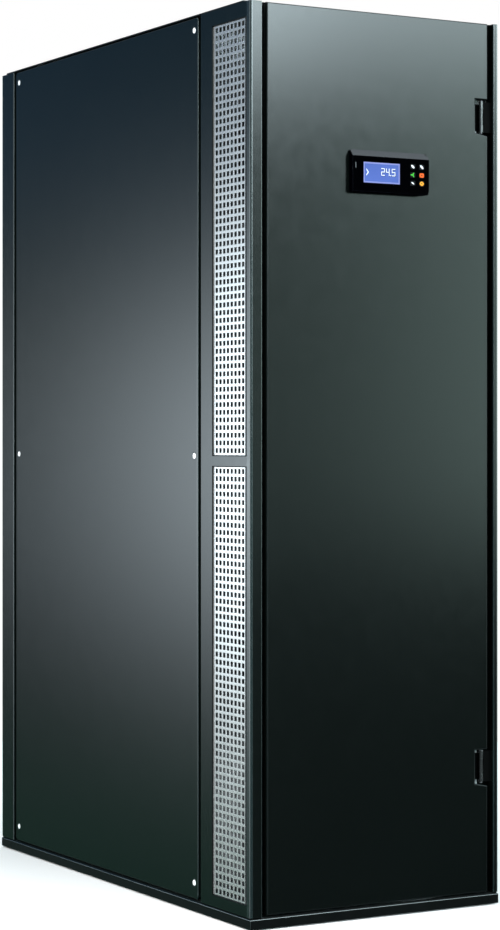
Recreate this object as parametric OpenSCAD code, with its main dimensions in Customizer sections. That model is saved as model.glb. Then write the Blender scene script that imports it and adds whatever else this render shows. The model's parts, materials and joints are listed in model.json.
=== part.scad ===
// In-row cooling unit: a tall sheet-metal cabinet that draws warm air in through its
// rear door, cools it over a chilled-water coil and blows it out sideways through two
// tall grilles beside the front door.
// Origin: middle of the floor footprint. +X right, +Y to the rear, +Z up. Millimetres.

/* [Cabinet] */
// Overall width over the side panels
cab_w = 600; // [596:1:606]
// Overall depth over the door faces
cab_d = 1200; // [1190:5:1230]
// Overall height above the floor
cab_h = 1850; // [1845:1:1860]
// Height of the base strip, measured from the floor
base_h = 26; // [25:1:28]
// Gap between the base strip and the floor
floor_gap = 3; // [2:0.5:5]
// Sheet thickness of frames and base
t = 2; // [1.8:0.1:2.2]
// Sheet thickness of panels and doors
ts = 1.5; // [1.2:0.1:1.8]

/* [Front and rear corner frames] */
// Depth of the front corner frames along the side
frame_len = 206; // [200:1:208]
// Depth of the rear corner posts along the side
post_len = 69; // [66:1:72]
// Width of the wide face strip, on the latch side
strip_wide = 27; // [25:1:29]
// Width of the narrow face strip, on the hinge side
strip_slim = 13; // [12:1:14]
// Outer corner radius
corner_r = 5; // [4:0.5:6]

/* [Outlet grilles] */
// Start of the grille opening behind the front corner
grille_y0 = 15; // [14:1:17]
// End of the grille opening behind the front corner
grille_y1 = 157; // [154:1:159]
// Bottom of the grille opening
grille_z0 = 49; // [44:1:58]
// Top of the grille opening
grille_z1 = 1817; // [1800:1:1820]
// Height of the crossbar between the two grille fields
crossbar_h = 20; // [18:1:26]
// Middle of the crossbar
crossbar_z = 932; // [910:0.5:950]
// Pitch of the square holes
hole_pitch = 15.5; // [15:0.5:16]
// Side of a square hole
hole_w = 9.5; // [8:0.5:10.5]
// Depth of the sheet behind the cabinet side
recess = 3; // [2.5:0.5:5]

/* [Side panels] */
// Gap between a side panel and its neighbours
panel_gap = 11; // [10:0.5:12]
// Corner radius of a side panel
panel_r = 8; // [4:1:10]
// Depth of the folded edges
panel_fold = 16; // [12:1:17]

/* [Doors] */
// Gap beside a door
door_gap = 11; // [10:0.5:12]
// Gap at the hinge side of a door
hinge_gap = 15; // [14:0.5:16]
// Thickness of a door pan
door_t = 20; // [18:1:20]
// Lower hinge notch, bottom edge
notch_low_z = 253; // [230:1:285]
// Upper hinge notch, bottom edge
notch_high_z = 1613; // [1520:1:1630]
// Height of a hinge notch
notch_h = 74; // [70:1:78]
// Hinge axis behind the door face
axis_back = 10; // [9.5:0.5:10.5]
// Hinge axis in from the cabinet side
axis_in = 38; // [37:0.5:38.5]

/* [Controller] */
// Left end of the controller housing
ctl_x0 = -69.5; // [-80:0.5:-60]
// Width of the controller housing
ctl_w = 185; // [180:1:190]
// Middle height of the controller housing
ctl_z = 1520; // [1510:1:1530]
// Height of the controller housing
ctl_h = 88; // [86:1:92]
// Depth of the controller housing in front of the door
ctl_d = 14; // [13:0.5:14]
// Travel of a key
key_travel = 1.2; // [0.8:0.1:1.5]

/* [Fans and coil] */
// Radius of a fan opening
fan_r = 222; // [210:1:224]
// Number of blades on an impeller
blades = 7; // [5:1:9]
// Spacing of the fans
fan_step = 505; // [495:5:510]
// Height of the lowest fan axis
fan_z0 = 560; // [558:1:570]
// Number of coil fins
fins = 54; // [30:1:60]

/* [Hidden] */
$fn = 48;

hw = cab_w / 2;
hd = cab_d / 2;
top_z = cab_h - 3;              // underside of the roof sheet
door_z0 = base_h + 3;
door_z1 = top_z - 1;
door_x0 = -hw + strip_wide + door_gap;
door_x1 = hw - strip_slim - hinge_gap;
rebate = 30;                    // face of the gasket land, behind the front face
land_end = 87;                  // inner edge of the gasket land, in from the side
back = 22;                      // depth of the backing strip behind the panel edge
tail = 46;
screw_z = [62, 942, 1819];
screw_in = 17;                  // screw row, in from the panel edge
panel_y0 = -hd + frame_len + panel_gap;
panel_y1 = hd - post_len - 13;
panel_z0 = base_h + 3;
panel_z1 = top_z - 3;
axis_x = hw - axis_in;
axis_y = -hd + axis_back;
black = "#1d2326";
anthracite = "#2b3336";
foot_x = hw - 65;
foot_y = hd - 70;
header_x = 245;
coil_y = 220;
bulk_y = -hd + frame_len - 4;   // front face of the fan bulkhead

module both_ends() { children(); rotate([0, 0, 180]) children(); }
module left_right() { children(); mirror([1, 0, 0]) children(); }
module along_y(y0, y1, r) { translate([0, y0, 0]) rotate([-90, 0, 0]) cylinder(h = y1 - y0, r = r); }
module box(a, b) { translate(a) cube(b - a); }
module rounded(w, h, r) {
    translate([r, 0]) square([w - 2 * r, h]);
    translate([0, r]) square([w, h - 2 * r]);
    for (x = [r, w - r], y = [r, h - r]) translate([x, y]) circle(r);
}
// a corner bite that leaves a quarter round of radius r at the origin
module corner_bite(r) {
    difference() { translate([-1, -1]) square([r + 1, r + 1]); translate([r, r]) circle(r); }
}

// ---------- base ----------
module base_frame() color(black) {
    w = 30;
    difference() {
        union() {
            difference() {
                intersection() {
                    translate([-hw, 0, 0]) rotate([90, 0, 90]) linear_extrude(cab_w)
                        polygon([[-hd, floor_gap], [hd, floor_gap], [hd, base_h - 4],
                            [hd - 4, base_h], [-hd + 4, base_h], [-hd, base_h - 4]]);
                    translate([0, hd, 0]) rotate([90, 0, 0]) linear_extrude(cab_d)
                        polygon([[-hw, floor_gap], [hw, floor_gap], [hw, base_h - 4],
                            [hw - 4, base_h], [-hw + 4, base_h], [-hw, base_h - 4]]);
                }
                box([-hw + w, -hd + w, 0], [hw - w, hd - w, base_h + 1]);
                // hollow underside of the folded rails
                difference() {
                    box([-hw + 5, -hd + 5, 0], [hw - 5, hd - 5, base_h - 4.5]);
                    box([-hw + w - t, -hd + w - t, -1], [hw - w + t, hd - w + t, base_h]);
                }
            }
            for (sx = [-1, 1], sy = [-1, 1]) {
                translate([sx * foot_x - 37, sy * foot_y - 42, base_h - 3]) cube([74, 84, 3]);
                translate([sx * foot_x, sy * foot_y, base_h - 3]) cylinder(h = 36, r = 14);
            }
            for (y = [-250, 200]) box([-hw + w - 1, y, base_h - 16], [hw - w + 1, y + 40, base_h]);
        }
        for (sx = [-1, 1], sy = [-1, 1])
            translate([sx * foot_x, sy * foot_y, 0]) cylinder(h = 80, r = 6.05);
    }
}
module floor_pan() color("#4a5155") difference() {
    box([-272, -hd + 34, base_h], [272, hd - 34, base_h + t]);
    for (sx = [-1, 1], sy = [-1, 1])
        translate([sx * foot_x, sy * foot_y, base_h - 1]) cylinder(h = 5, r = 18);
    box([-120, -190, base_h - 1], [120, 0, base_h + 4]);   // pipe and cable entry
}
module foot(sx, sy) translate([sx * foot_x, sy * foot_y, 0]) color("#9a9c9e") {
    cylinder(h = 6, r = 28);
    translate([0, 0, 6]) cylinder(h = 4, r = 12);
    translate([0, 0, 10]) cylinder(h = 66, r = 6);
    translate([0, 0, 10]) cylinder(h = 6, r = 9.5, $fn = 6);
}

// ---------- corner frames ----------
// folded profile, outer corner at the origin, x inwards, y away from the door face
module frame_profile(len, strip) difference() {
    union() {
        translate([0, corner_r]) square([t, len - corner_r]);
        translate([corner_r, 0]) square([strip - corner_r, t]);
        intersection() {
            square(corner_r);
            difference() { translate([corner_r, corner_r]) circle(corner_r); translate([corner_r, corner_r]) circle(corner_r - t); }
        }
        translate([strip - t, 0]) square([t, rebate]);
        translate([strip - t, rebate - t]) square([land_end - strip + t, t]);
        translate([0, len - t]) square([back, t]);
        translate([back - t, len - t]) square([t, tail]);
    }
    translate([strip, 0]) mirror([1, 0]) corner_bite(1.8);
    translate([0, len]) mirror([0, 1]) corner_bite(1.8);
}
module screw_holes(y) for (z = screw_z)
    translate([0, y, z - base_h]) rotate([0, 90, 0]) cylinder(h = back + 4, r = 3.05);
module corner_frame(len, strip, gap) difference() {
    linear_extrude(top_z - base_h) frame_profile(len, strip);
    translate([back - t - 1, 0, 0]) screw_holes(len + gap + screw_in);
}
fields = [[grille_z0, crossbar_z - crossbar_h / 2], [crossbar_z + crossbar_h / 2, grille_z1]];
module outlet_frame(strip) difference() {
    union() {
        translate([-hw, -hd, base_h]) corner_frame(frame_len, strip, panel_gap);
        // edge of each opening, folded inwards
        for (f = fields) box([-hw + t - 0.1, -hd + grille_y0 - 1.5, f[0] - 1.5], [-hw + recess, -hd + grille_y1 + 1.5, f[1] + 1.5]);
    }
    for (f = fields) box([-hw - 1, -hd + grille_y0, f[0]], [-hw + recess + 0.5, -hd + grille_y1, f[1]]);
}
module outlet_frame_left() color(anthracite) outlet_frame(strip_wide);
module outlet_frame_right() color(anthracite) mirror([1, 0, 0]) outlet_frame(strip_slim);
module rear_post(strip) mirror([0, 1, 0]) translate([-hw, -hd, base_h]) corner_frame(post_len, strip, 13);
module rear_post_left() color(anthracite) rear_post(strip_slim);
module rear_post_right() color(anthracite) mirror([1, 0, 0]) rear_post(strip_wide);

// ---------- outlet grilles ----------
// one perforated sheet a side: eight columns of openings in two fields, each opening
// three square holes high
gr_cols = 8;
gr_y = -hd + (grille_y0 + grille_y1) / 2 + 3;
gr_step = 3 * hole_pitch;
gr_slot = gr_step - hole_pitch + hole_w;
function slots_in(z0, z1) = floor((z1 - z0 - 2) / gr_step);
module field(z0, z1) {
    n = slots_in(z0, z1);
    for (i = [0 : n - 1], c = [0 : gr_cols - 1])
        translate([gr_y + (c - (gr_cols - 1) / 2) * hole_pitch - hole_w / 2,
            (z0 + z1 - (n - 1) * gr_step - gr_slot) / 2 + i * gr_step]) square([hole_w, gr_slot]);
}
module outlet_grille() translate([-hw + recess, 0, 0]) rotate([90, 0, 90]) linear_extrude(1.2) difference() {
    translate([-hd + grille_y0 - 6, grille_z0 - 10]) square([grille_y1 - grille_y0 + 15, grille_z1 - grille_z0 + 20]);
    for (f = fields) field(f[0], f[1]);
}
module outlet_grille_left() color("#e6e8e8") outlet_grille();
module outlet_grille_right() color("#e6e8e8") mirror([1, 0, 0]) outlet_grille();

// ---------- roof and side panels ----------
module roof_panel() color(black) difference() {
    box([-hw, -hd + 28.5, top_z], [hw, hd - 28.5, cab_h]);
    box([205, 150, top_z - 1], [285, 290, cab_h + 1]);                 // pipe entry
    translate([-240, 420, top_z - 1]) cylinder(h = 6, r = 20);         // condensate riser
    for (x = [-170, -120, -70]) translate([x, 400, top_z - 1]) cylinder(h = 6, r = 16.3);
    for (x = [-240, 240], y = [-480, 480]) translate([x, y, top_z - 1]) cylinder(h = 6, r = 4.5);
}
module side_panel() {
    w = panel_y1 - panel_y0;
    h = panel_z1 - panel_z0;
    difference() {
        union() {
            translate([-hw, panel_y0, panel_z0]) rotate([90, 0, 90]) difference() {
                linear_extrude(panel_fold) rounded(w, h, panel_r);
                translate([ts, ts, ts]) linear_extrude(panel_fold) rounded(w - 2 * ts, h - 2 * ts, panel_r - ts);
            }
            for (y = [panel_y0 + screw_in, panel_y1 - screw_in], z = screw_z)
                translate([-hw, y, z]) rotate([0, 90, 0]) cylinder(h = back - t, r = 11);
        }
        for (y = [panel_y0 + screw_in, panel_y1 - screw_in], z = screw_z) {
            translate([-hw - 1, y, z]) rotate([0, 90, 0]) cylinder(h = 3.4, r = 7);
            translate([-hw - 1, y, z]) rotate([0, 90, 0]) cylinder(h = 60, r = 3.4);
        }
    }
}
module side_panel_left() color(anthracite) side_panel();
module side_panel_right() color(anthracite) mirror([1, 0, 0]) side_panel();
module side_panel_screws() color("silver") left_right()
    for (y = [panel_y0 + screw_in, panel_y1 - screw_in], z = screw_z)
        translate([-hw, y, z]) rotate([0, 90, 0]) difference() {
            union() {
                translate([0, 0, 0.2]) cylinder(h = 2.2, r = 5.9);
                cylinder(h = 23.4, r = 3);
            }
            translate([0, 0, -1]) cylinder(h = 2.2, r = 2.4, $fn = 6);
        }

// ---------- fans ----------
module at_fans() for (i = [0 : 2]) translate([0, 0, fan_z0 + i * fan_step]) children();
module fan_bulkhead() color("#b9bec0") difference() {
    box([-296, bulk_y, base_h + 3], [296, bulk_y + t, top_z - 2]);
    at_fans() along_y(bulk_y - 1, bulk_y + t + 1, fan_r);
}
module fan_shrouds() color("#3a3f42") at_fans() translate([0, bulk_y + t, 0]) rotate([-90, 0, 0])
    rotate_extrude() polygon([[fan_r, 0], [fan_r + 18, 0], [fan_r + 18, 2], [fan_r + 4, 2],
        [fan_r + 4, 66], [fan_r, 66]]);
module fan_guards() color("#c9cccd") at_fans() translate([0, bulk_y - 4, 0]) rotate([-90, 0, 0]) {
    for (r = [90, 135, 180]) rotate_extrude() translate([r, 0]) circle(2.2, $fn = 16);
    rotate_extrude() translate([fan_r + 6, 0]) square([6, 8], center = true);
    for (a = [45 : 90 : 315]) rotate([0, 0, a]) translate([44, -4, -1.5]) cube([fan_r - 40, 8, 3]);
    translate([0, 0, -2]) cylinder(h = 4, r = 56);
}
module fan_motors() color("#2a2a2c") at_fans() translate([0, bulk_y - 2, 0]) rotate([-90, 0, 0]) difference() {
    cylinder(h = 62, r = 48);
    translate([0, 0, 8]) cylinder(h = 60, r = 6.05);
}
// outer-rotor hub with pitched blades, its shaft running in the motor
module impeller(i) color("#4b5256") translate([0, bulk_y, fan_z0 + i * fan_step]) rotate([-90, 0, 0]) {
    difference() {
        translate([0, 0, 8]) cylinder(h = 64, r = 60);
        translate([0, 0, 7]) cylinder(h = 56, r = 52);
    }
    translate([0, 0, 16]) cylinder(h = 52, r = 6);
    for (k = [0 : blades - 1]) rotate([0, 0, k * 360 / blades]) translate([57, 0, 38])
        rotate([52, 0, 0]) translate([0, -36, -1.5]) cube([fan_r - 66, 72, 3]);
}
module fan_impeller_lower() impeller(0);
module fan_impeller_middle() impeller(1);
module fan_impeller_upper() impeller(2);

// ---------- coil and water side ----------
tube_z = [for (i = [0 : 5]) 290 + i * 220];
module coil_core() color("#c7c9c6") {
    pitch = 480 / (fins - 1);
    for (i = [0 : fins - 1]) box([-265 + i * pitch, coil_y - 60, 165], [-264.2 + i * pitch, coil_y + 60, 1535]);
    for (z = tube_z, dy = [-30, 30]) translate([-276, coil_y + dy, z]) rotate([0, 90, 0]) cylinder(h = 507, r = 7);
    // return bends at the closed end
    for (z = tube_z) {
        translate([-276, coil_y - 30, z]) sphere(7);
        translate([-276, coil_y + 30, z]) sphere(7);
        translate([-276, coil_y - 30, z]) rotate([-90, 0, 0]) cylinder(h = 60, r = 7);
    }
}
module coil_headers() color("#b8733f") for (dy = [-30, 30]) difference() {
    translate([header_x, coil_y + dy, 200]) cylinder(h = 1340, r = 17);
    translate([header_x, coil_y + dy, 202]) cylinder(h = 1340, r = 15.5);
    for (z = tube_z) translate([200, coil_y + dy, z]) rotate([0, 90, 0]) cylinder(h = 40, r = 7.05);
}
module coil_end_plates() color("#aeb4b6") difference() {
    union() {
        box([-269, coil_y - 70, 150], [-267, coil_y + 70, 1550]);
        box([218, coil_y - 70, 150], [220, coil_y + 70, 1550]);
        box([-269, coil_y - 70, 1548], [220, coil_y - 68, top_z - 2]);
        box([220, coil_y - 70, 60], [276, coil_y - 68, top_z - 2]);
        box([218, coil_y - 70, 1540], [220, coil_y - 68, top_z - 2]);
        box([-269, coil_y - 70, 1548], [220, coil_y + 70, 1550]);
    }
    for (z = tube_z, dy = [-30, 30]) translate([-300, coil_y + dy, z]) rotate([0, 90, 0]) cylinder(h = 600, r = 7.4);
}
module drip_tray() color("#9ba1a3") {
    difference() {
        box([-268, coil_y - 80, 106], [216, coil_y + 90, 146]);
        box([-266.5, coil_y - 78.5, 107.5], [214.5, coil_y + 88.5, 150]);
    }
    for (x = [-240, 180]) box([x, coil_y - 70, base_h + t], [x + 3, coil_y + 70, 106]);
}
module condensate_pump() color("#33383b") difference() {
    union() {
        box([-250, 340, base_h + t], [-110, 445, 95]);
        translate([-160, 392, 95]) cylinder(h = 46, r = 30);
    }
    translate([-240, 420, 80]) cylinder(h = 20, r = 6.2);
}
module condensate_pipe() color("#d9dbd8") difference() {
    union() {
        translate([-240, 420, 84]) cylinder(h = cab_h - 2 - 84, r = 6);
        translate([-240, 420, cab_h - 32]) cylinder(h = 30, r = 8);
    }
    translate([-240, 420, 83]) cylinder(h = cab_h, r = 4);
}
module pipe(dy, z0, z1) difference() {
    translate([header_x, coil_y + dy, z0]) cylinder(h = z1 - z0, r = 17.5);
    translate([header_x, coil_y + dy, z0 - 1]) cylinder(h = z1 - z0 + 2, r = 16);
}
// a pipe end with a male thread collar, 1 1/4 inch nominal
module pipe_end(dy, z0) difference() {
    union() {
        pipe(dy, z0, 1835);
        translate([header_x, coil_y + dy, 1795]) cylinder(h = 40, r = 20.95);
    }
    translate([header_x, coil_y + dy, z0 - 1]) cylinder(h = 400, r = 16);
}
module supply_pipe() color("#b8733f") pipe_end(-30, 1540);
module return_pipe() color("#b8733f") { pipe(30, 1540, 1600); pipe_end(30, 1690); }
module control_valve() color("#a98b45") {
    translate([header_x, coil_y + 30, 1600]) cylinder(h = 24, r = 24, $fn = 6);
    translate([header_x, coil_y + 30, 1666]) cylinder(h = 24, r = 24, $fn = 6);
    translate([header_x, coil_y + 30, 1620]) cylinder(h = 50, r = 20);
    translate([195, coil_y + 30, 1645]) rotate([0, 90, 0]) cylinder(h = 40, r = 12);
    box([135, coil_y - 15, 1590], [198, coil_y + 65, 1700]);
}
module cable_glands() color("#25282a") for (x = [-170, -120, -70]) translate([x, 400, 0]) difference() {
    union() {
        translate([0, 0, 1814]) cylinder(h = cab_h - 1814, r = 16);
        translate([0, 0, top_z - 10]) cylinder(h = 10, r = 21, $fn = 6);
    }
    translate([0, 0, 1800]) cylinder(h = 60, r = 9);
}

// ---------- electrical box ----------
module electrical_box() color("#8d9497") difference() {
    union() {
        box([-190, -545, 60], [190, -420, 320]);
        for (x = [-160, 160], z = [90, 290]) translate([x, 0, z]) along_y(-421, bulk_y, 7);
    }
    box([-188.5, -546, 61.5], [188.5, -421.5, 318.5]);
}
module electrical_box_cover() color("#9aa1a4") difference() {
    box([-192, -547, 58], [192, -545, 322]);
    box([-155, -548, 222], [45, -544, 268]);
    translate([130, 0, 230]) along_y(-548, -544, 9);
    for (x = [-184, 184], z = [66, 314]) translate([x, 0, z]) along_y(-548, -544, 2.2);
}
module circuit_breakers() color("#d5d7d6") {
    box([-170, -450, 227], [70, -448, 262]);
    for (i = [0 : 4]) difference() {
        translate([-148 + i * 37, 0, 0]) union() {
            box([0, -448 - 62, 202], [35.4, -450, 287]);
            box([5, -448 - 80, 224], [30.4, -448 - 61, 266]);
        }
        translate([-148 + i * 37 + 12, -448 - 81, 236]) cube([11.4, 8, 18]);
    }
}
module control_board() color("#2d6a45") {
    box([-165, -432, 75], [75, -430, 190]);
    for (x = [-155, 65], z = [82, 183]) translate([x, 0, z]) along_y(-430.5, -421.5, 4);
    for (i = [0 : 5]) box([-150 + i * 34, -446, 80], [-126 + i * 34, -431.5, 96]);
    box([-130, -436, 120], [-95, -431.5, 155]);
    box([-60, -452, 118], [-20, -431.5, 160]);
    for (x = [10, 35]) translate([x, 0, 140]) along_y(-456, -431.5, 9);
}
module main_switch() color("#3b3f42") difference() {
    union() {
        box([98, -540, 195], [162, -470, 265]);
        box([105, -470, 190], [155, -421.5, 270]);
    }
    translate([130, 0, 230]) along_y(-541, -500, 4.05);
}
module main_switch_knob() color("#c8102e") translate([130, 0, 230]) {
    along_y(-559, -548, 22);
    along_y(-560, -505, 4);
    box([-6, -571, -21], [6, -558, 21]);
}

// ---------- door hardware ----------
// written at the front hinge axis; both_ends() turns a second set onto the rear door
module at_hinges() for (z = [notch_low_z, notch_high_z]) translate([axis_x, axis_y, z]) children();
module hinge_bracket() difference() {
    reach = axis_in - strip_slim;
    union() {
        for (z = [6, 54]) {
            translate([0, 0, z]) cylinder(h = 16, r = 4.5);
            translate([0, -2, z]) cube([7, 4, 16]);
        }
        box([6, -2, 6], [reach, 2, 70]);
        box([reach - 3, -2, 6], [reach, 14, 70]);
    }
    translate([0, 0, 0]) cylinder(h = 80, r = 3.05);
}
module hinge_brackets() color("#15181a") both_ends() at_hinges() hinge_bracket();
module hinge_pins() color("silver") both_ends() at_hinges() {
    translate([0, 0, 3]) cylinder(h = 67, r = 3);
    translate([0, 0, 70]) cylinder(h = 2.5, r = 4.5);
}
module hinge_leaf() difference() {
    lift = door_t - axis_back;
    union() {
        translate([0, 0, 22.5]) cylinder(h = 31, r = 4.5);
        translate([-2, 0, 22.5]) cube([4, lift, 31]);
        box([-38, lift - 3, 10], [2, lift, 66]);
    }
    translate([0, 0, 0]) cylinder(h = 80, r = 3.05);
    for (z = [18, 58]) translate([-30, 0, z]) along_y(0, 20, 2.6);
}
module front_door_hinge_leaves() color("#15181a") at_hinges() hinge_leaf();
module rear_door_hinge_leaves() color("#15181a") rotate([0, 0, 180]) at_hinges() hinge_leaf();
module door_magnets() color("#303335")
    for (z = [120, 935, 1750]) box([-hw + 66, -hd + door_t + 2.2, z - 30], [-hw + 80, -hd + rebate - t, z + 30]);

module notch_outline(grow) polygon([[axis_x - 21 - grow, 4 - grow], [door_x1 + 1, -2 - grow],
    [door_x1 + 1, notch_h + grow], [axis_x - 21 - grow, notch_h + grow]]);
module notches(y0, y1, grow) for (z = [notch_low_z, notch_high_z])
    translate([0, y1, z]) rotate([90, 0, 0]) linear_extrude(y1 - y0) notch_outline(grow);
// pan with rounded front edges and folded sides
module door_shell() {
    r = 2.5;
    difference() {
        union() {
            difference() {
                intersection() {
                    translate([door_x0, -hd, door_z0]) linear_extrude(door_z1 - door_z0) difference() {
                        square([door_x1 - door_x0, door_t]);
                        corner_bite(r);
                        translate([door_x1 - door_x0, 0]) mirror([1, 0]) corner_bite(r);
                    }
                    translate([door_x0 - 1, -hd, door_z0]) rotate([90, 0, 90]) linear_extrude(door_x1 - door_x0 + 2) difference() {
                        square([door_t, door_z1 - door_z0]);
                        corner_bite(r);
                        translate([0, door_z1 - door_z0]) mirror([0, 1]) corner_bite(r);
                    }
                }
                box([door_x0 + ts, -hd + ts, door_z0 + ts], [door_x1 - ts, -hd + door_t + 1, door_z1 - ts]);
            }
            intersection() {
                notches(-hd + ts, -hd + door_t - 3.2, 2);
                box([door_x0, -hd, door_z0], [door_x1, hd, door_z1]);
            }
        }
        notches(-hd - 1, -hd + door_t + 1, 0);
    }
}
module front_door_skin() color(anthracite) door_shell();
module front_door_inner_panel() color("#3a4043") difference() {
    box([door_x0 + 4, -hd + door_t, door_z0 + 4], [door_x1 - 4, -hd + door_t + 2, door_z1 - 4]);
    for (z = [notch_low_z, notch_high_z])
        box([axis_x - 3, -hd + door_t - 1, z - 2], [door_x1, -hd + door_t + 3, z + notch_h + 2]);
}
module front_door_gasket() color("#101112") difference() {
    box([door_x0 + 12, -hd + door_t + 2, door_z0 + 14], [door_x1 - 36, -hd + rebate - t - 0.4, door_z1 - 14]);
    box([door_x0 + 22, -hd + door_t, door_z0 + 24], [door_x1 - 46, -hd + rebate, door_z1 - 24]);
}

// ---------- controller ----------
ctl_z0 = ctl_z - ctl_h / 2;
lcd = [0.5, 1518, 88, 42];
key_w = 12;
key_h = 10;
key_at = [for (z = [1535, 1518, 1501], x = [75, 97]) [x, z]];
module controller_outline() difference() {
    intersection() {
        translate([ctl_x0, ctl_z0]) square([ctl_w, ctl_h]);
        translate([ctl_x0 + 39.5, ctl_z + 4]) circle(150, $fn = 120);
    }
    translate([ctl_x0, ctl_z0]) corner_bite(4);
    translate([ctl_x0, ctl_z0 + ctl_h]) mirror([0, 1]) corner_bite(4);
    translate([ctl_x0 + ctl_w - 3.6, ctl_z0]) mirror([1, 0]) corner_bite(18);
    translate([ctl_x0 + ctl_w - 2.2, ctl_z0 + ctl_h]) mirror([1, 0]) mirror([0, 1]) corner_bite(6);
}
module controller_housing() color("#0b0c0e") difference() {
    intersection() {
        translate([0, -hd, 0]) rotate([90, 0, 0]) linear_extrude(ctl_d) controller_outline();
        translate([ctl_x0 - 5, -hd, ctl_z0]) rotate([90, 0, 90]) linear_extrude(ctl_w + 10)
            polygon([[0, 0], [0, ctl_h], [-3, ctl_h], [-ctl_d, ctl_h - 13], [-ctl_d, 3], [-ctl_d + 3, 0]]);
    }
    translate([lcd[0] - lcd[2] / 2, -hd - ctl_d - 1, lcd[1] - lcd[3] / 2]) cube([lcd[2], 4, lcd[3]]);
    for (k = key_at) translate([k[0] - key_w / 2 - 0.3, -hd - ctl_d - 1, k[1] - key_h / 2 - 0.3])
        cube([key_w + 0.6, ctl_d - 6.2 + key_travel, key_h + 0.6]);
}
module display_screen() color("#5f83e0")
    translate([lcd[0] - lcd[2] / 2, -hd - ctl_d + 1.2, lcd[1] - lcd[3] / 2]) cube([lcd[2], 1.8, lcd[3]]);
module key(i, c) color(c) translate([key_at[i][0] - key_w / 2, -hd - 7.5, key_at[i][1] - key_h / 2])
    rotate([90, 0, 0]) linear_extrude(ctl_d - 6.5) rounded(key_w, key_h, 2.5);
module key_alarm() key(0, "white");
module key_program() key(1, "white");
module key_escape() key(2, "limegreen");
module key_up() key(3, "orangered");
module key_enter() key(4, "gainsboro");
module key_down() key(5, "orange");

// ---------- rear door ----------
// written as a front door and turned half round; slots let the warm air in
slot_w = 9;
slot_l = 140;
latch_x = -hw + 100;
latch_z = 950;
module rear_door() color(anthracite) rotate([0, 0, 180]) {
    cols = 22;
    rows = 10;
    difference() {
        door_shell();
        for (c = [0 : cols - 1], r = [0 : rows - 1])
            translate([latch_x + 38 + c * 17, -hd - 1, 130 + r * 162]) cube([slot_w, 4, slot_l]);
        translate([latch_x, 0, latch_z]) along_y(-hd - 1, -hd + 4, 5.05);
    }
    for (z = [notch_low_z, notch_high_z])
        box([axis_x - 42, -hd + ts, z + 2], [axis_x - 23, -hd + door_t - 3, z + notch_h - 2]);
}
module rear_door_latch() color("#1a1c1e") rotate([0, 0, 180]) translate([latch_x, 0, latch_z]) {
    along_y(-hd - 5, -hd - 0.2, 15);
    along_y(-hd - 5, -hd + 36, 5);
    box([-8, -hd - ctl_d - 1, -42], [8, -hd - 5, 42]);
    box([-7, -hd + 32, -7], [7, -hd + 36, 30]);
}

// ---------- filter ----------
fil_y = 478;
module filter_rails() color("#7e8588") {
    left_right() {
        box([-276, fil_y - 6, base_h + t], [-274, fil_y + 50, top_z - 4]);
        box([-274, fil_y - 6, base_h + t], [-252, fil_y - 4, top_z - 4]);
    }
    box([-274, fil_y - 4, 90], [274, fil_y + 50, 92]);
}
module filter_frame() color("#a9b0b3") difference() {
    box([-270, fil_y, 92.5], [270, fil_y + 46, 1800]);
    box([-252, fil_y - 1, 110], [252, fil_y + 47, 1782]);
    box([-266, fil_y + 2, 96], [266, fil_y + 44, 1796]);
}
// pleated sheet: a closed zigzag, swept up the height of the frame
pleats = 21;
module filter_media() color("#e9ebe6") translate([0, fil_y + 23, 98]) linear_extrude(1696) {
    p = 528 / (2 * pleats);
    polygon(concat(
        [for (i = [0 : 2 * pleats]) [-264 + i * p, (i % 2 == 0 ? -19 : 15)]],
        [for (i = [2 * pleats : -1 : 0]) [-264 + i * p, (i % 2 == 0 ? -15 : 19)]]));
}

base_frame();
floor_pan();
outlet_frame_left();
outlet_frame_right();
rear_post_left();
rear_post_right();
roof_panel();
side_panel_left();
side_panel_right();
side_panel_screws();
outlet_grille_left();
outlet_grille_right();
fan_bulkhead();
fan_shrouds();
fan_guards();
fan_motors();
coil_core();
coil_headers();
coil_end_plates();
drip_tray();
condensate_pump();
condensate_pipe();
electrical_box();
electrical_box_cover();
circuit_breakers();
control_board();
main_switch();
supply_pipe();
return_pipe();
control_valve();
cable_glands();
hinge_brackets();
hinge_pins();
door_magnets();
filter_rails();
front_door_skin();
front_door_inner_panel();
front_door_gasket();
front_door_hinge_leaves();
controller_housing();
display_screen();
key_alarm();
key_program();
key_escape();
key_up();
key_enter();
key_down();
rear_door();
rear_door_hinge_leaves();
rear_door_latch();
fan_impeller_lower();
fan_impeller_middle();
fan_impeller_upper();
filter_frame();
filter_media();
main_switch_knob();
foot(-1, -1);  // levelling_foot_front_left
foot(1, -1);  // levelling_foot_front_right
foot(-1, 1);  // levelling_foot_rear_left
foot(1, 1);  // levelling_foot_rear_right
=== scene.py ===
import bpy, bmesh, math, json
from mathutils import Vector, Matrix

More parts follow.
